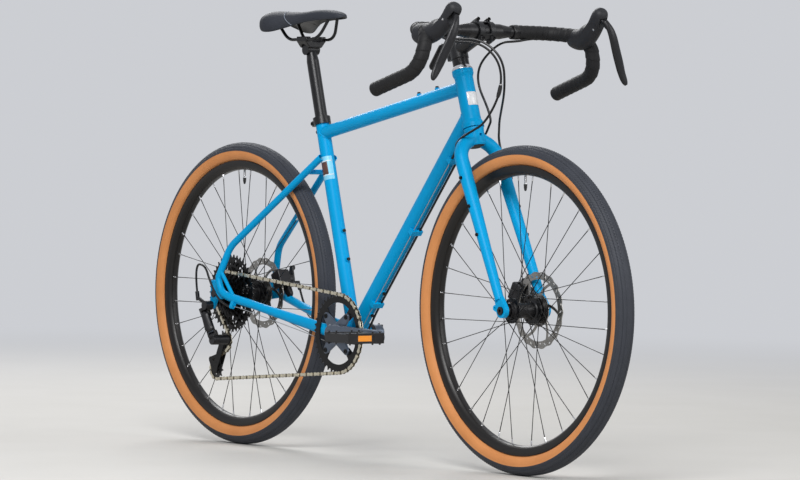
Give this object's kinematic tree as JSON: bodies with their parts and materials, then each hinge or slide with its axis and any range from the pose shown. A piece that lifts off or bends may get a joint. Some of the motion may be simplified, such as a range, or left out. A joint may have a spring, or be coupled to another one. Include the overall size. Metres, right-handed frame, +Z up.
{
  "type": "gravel bike",
  "caption": "Drop-bar gravel bike with a steel diamond frame, raked fork, wide tan-wall tyres, disc brakes and a single-ring chain drive.",
  "frame": {"origin": "on the ground under the middle of the wheelbase", "axes": "+X forward, +Y to the rider's left, +Z up"},
  "size_m": [1.688, 0.5144, 0.9701],
  "materials": {
    "paint_blue": "satin gloss",
    "black_metal": "satin anodised",
    "crank_grey": "satin",
    "black_steel": "black",
    "bare_steel": "bare",
    "silver": "polished",
    "tan_tyre": "matt",
    "inner_rubber": "matt",
    "tape": "matt",
    "plastic": "matt",
    "housing": "gloss",
    "saddle_cover": "matt"
  },
  "bodies": {
    "frame": {"head_tube": "paint_blue", "top_tube": "paint_blue", "down_tube": "paint_blue", "seat_tube": "paint_blue", "bottom_bracket_shell": "paint_blue", "seat_stays": "paint_blue", "chain_stays": "paint_blue", "cable_stop": "paint_blue", "seat_clamp": "black_metal", "frame_bolts": "black_steel", "bearing_cups": "black_metal", "rear_axle": "black_metal", "rear_caliper": "black_metal", "chain": "bare_steel", "rear_brake_cable": "housing", "shift_cable": "housing", "derailleur_knuckle": "crank_grey"},
    "steering": {"fork_crown": "paint_blue", "fork_blades": "paint_blue", "steering_bolts": "black_steel", "headset_spacers": "silver", "stem": "black_metal", "handlebar": "black_metal", "bar_tape": "tape", "lever_hoods": "tape", "front_axle": "black_metal", "front_caliper": "black_metal", "front_brake_cable": "housing"},
    "front_wheel": {"tyre_front": "tan_tyre", "inner_tube_front": "inner_rubber", "rim_front": "black_metal", "spokes_front": "black_steel", "hub_front": "black_metal", "rotor_front": "bare_steel"},
    "rear_wheel": {"tyre_rear": "tan_tyre", "inner_tube_rear": "inner_rubber", "rim_rear": "black_metal", "spokes_rear": "black_steel", "hub_rear": "black_metal", "rotor_rear": "bare_steel"},
    "cassette": {"cassette": "black_steel"},
    "crank": {"crankset": "crank_grey", "chainring": "black_steel", "pedal_axles": "bare_steel"},
    "pedal_right": {"pedal_right": "plastic"},
    "pedal_left": {"pedal_left": "plastic"},
    "outer_link": {"derailleur_outer_link": "crank_grey"},
    "inner_link": {"derailleur_inner_link": "crank_grey"},
    "lower_knuckle": {"derailleur_lower": "crank_grey"},
    "cage": {"derailleur_cage": "crank_grey"},
    "guide_pulley": {"guide_pulley": "plastic"},
    "tension_pulley": {"tension_pulley": "plastic"},
    "lever_left": {"brake_lever_left": "plastic"},
    "lever_right": {"brake_lever_right": "plastic"},
    "paddle": {"shift_paddle": "plastic"},
    "front_arm": {"front_caliper_arm": "black_metal"},
    "rear_arm": {"rear_caliper_arm": "black_metal"},
    "seatpost": {"seatpost": "black_metal"},
    "saddle": {"saddle_rails": "black_steel", "saddle": "saddle_cover"}
  },
  "joints": [
    {"name": "steering", "type": "hinge", "parent": "frame", "child": "steering", "pos_m": [0.32844, 0, 0.71227], "axis": [-0.3173, 0, 0.9483], "range_deg": [-60, 60], "deforming": ["rear_brake_cable", "shift_cable"]},
    {"name": "front_wheel_spin", "type": "hinge", "parent": "steering", "child": "front_wheel", "pos_m": [0.505, 0, 0.339], "axis": [0, 1, 0], "continuous": true},
    {"name": "rear_wheel_spin", "type": "hinge", "parent": "frame", "child": "rear_wheel", "pos_m": [-0.505, 0, 0.339], "axis": [0, 1, 0], "continuous": true},
    {"name": "crank_spin", "type": "hinge", "parent": "frame", "child": "crank", "pos_m": [-0.08006, 0, 0.267], "axis": [0, 1, 0], "continuous": true, "deforming": ["chain"]},
    {"name": "cassette_spin", "type": "hinge", "parent": "frame", "child": "cassette", "pos_m": [-0.505, 0, 0.339], "axis": [0, 1, 0], "continuous": true},
    {"name": "pedal_right_spin", "type": "hinge", "parent": "crank", "child": "pedal_right", "pos_m": [0.08994, 0, 0.267], "axis": [0, 1, 0], "continuous": true},
    {"name": "pedal_left_spin", "type": "hinge", "parent": "crank", "child": "pedal_left", "pos_m": [-0.25006, 0, 0.267], "axis": [0, 1, 0], "continuous": true},
    {"name": "derailleur_shift", "type": "hinge", "parent": "frame", "child": "outer_link", "pos_m": [-0.52136, -0.09152, 0.2933], "axis": [0.6663, 0.6157, 0.4208], "range_deg": [-30, 20], "deforming": ["chain"]},
    {"name": "derailleur_inner_pivot", "type": "hinge", "parent": "frame", "child": "inner_link", "pos_m": [-0.52864, -0.08048, 0.2887], "axis": [0.6663, 0.6157, 0.4208], "range_deg": [-30, 20]},
    {"name": "derailleur_lower_pivot", "type": "hinge", "parent": "outer_link", "child": "lower_knuckle", "pos_m": [-0.49736, -0.09152, 0.2553], "axis": [0.6663, 0.6157, 0.4208], "range_deg": [-20, 30]},
    {"name": "cage_swing", "type": "hinge", "parent": "lower_knuckle", "child": "cage", "pos_m": [-0.491, -0.044, 0.236], "axis": [0, 1, 0], "range_deg": [-40, 12], "stiffness_Nm_per_rad": 0.5, "deforming": ["chain"]},
    {"name": "guide_pulley_spin", "type": "hinge", "parent": "cage", "child": "guide_pulley", "pos_m": [-0.5115, -0.044, 0.2315], "axis": [0, 1, 0], "continuous": true},
    {"name": "tension_pulley_spin", "type": "hinge", "parent": "cage", "child": "tension_pulley", "pos_m": [-0.54118, -0.044, 0.16811], "axis": [0, 1, 0], "continuous": true},
    {"name": "lever_left_pull", "type": "hinge", "parent": "steering", "child": "lever_left", "pos_m": [0.5086, 0.19228, 0.94295], "axis": [0, 0.9336, 0.3584], "range_deg": [0, 18], "stiffness_Nm_per_rad": 0.4},
    {"name": "lever_right_pull", "type": "hinge", "parent": "steering", "child": "lever_right", "pos_m": [0.5086, -0.19228, 0.94295], "axis": [0, 0.9336, -0.3584], "range_deg": [0, 18], "stiffness_Nm_per_rad": 0.4},
    {"name": "paddle_push", "type": "hinge", "parent": "lever_right", "child": "paddle", "pos_m": [0.5145, -0.21949, 0.87845], "axis": [-0.1172, -0.4103, -0.9044], "range_deg": [0, 12], "stiffness_Nm_per_rad": 0.1},
    {"name": "front_arm_pull", "type": "hinge", "parent": "steering", "child": "front_arm", "pos_m": [0.44085, 0.03872, 0.37169], "axis": [0, 1, 0], "range_deg": [0, 24]},
    {"name": "rear_arm_pull", "type": "hinge", "parent": "frame", "child": "rear_arm", "pos_m": [-0.44029, 0.05492, 0.37056], "axis": [0, 1, 0], "range_deg": [0, 24]},
    {"name": "seatpost_slide", "type": "slide", "parent": "frame", "child": "seatpost", "axis": [-0.274, 0, 0.9617], "range_m": [-0.09, 0.04]},
    {"name": "saddle_tilt", "type": "hinge", "parent": "seatpost", "child": "saddle", "pos_m": [-0.25539, 0, 0.88251], "axis": [0, 1, 0], "range_deg": [-8, 8]}
  ],
  "couplings": [
    {"joint": "cassette_spin", "follows": "crank_spin", "ratio": 1.75},
    {"joint": "guide_pulley_spin", "follows": "crank_spin", "ratio": -3.8182},
    {"joint": "tension_pulley_spin", "follows": "crank_spin", "ratio": 3.8182},
    {"joint": "derailleur_inner_pivot", "follows": "derailleur_shift", "ratio": 1},
    {"joint": "derailleur_lower_pivot", "follows": "derailleur_shift", "ratio": -1},
    {"joint": "front_arm_pull", "follows": "lever_right_pull", "ratio": 1.3},
    {"joint": "rear_arm_pull", "follows": "lever_left_pull", "ratio": 1.3}
  ]
}
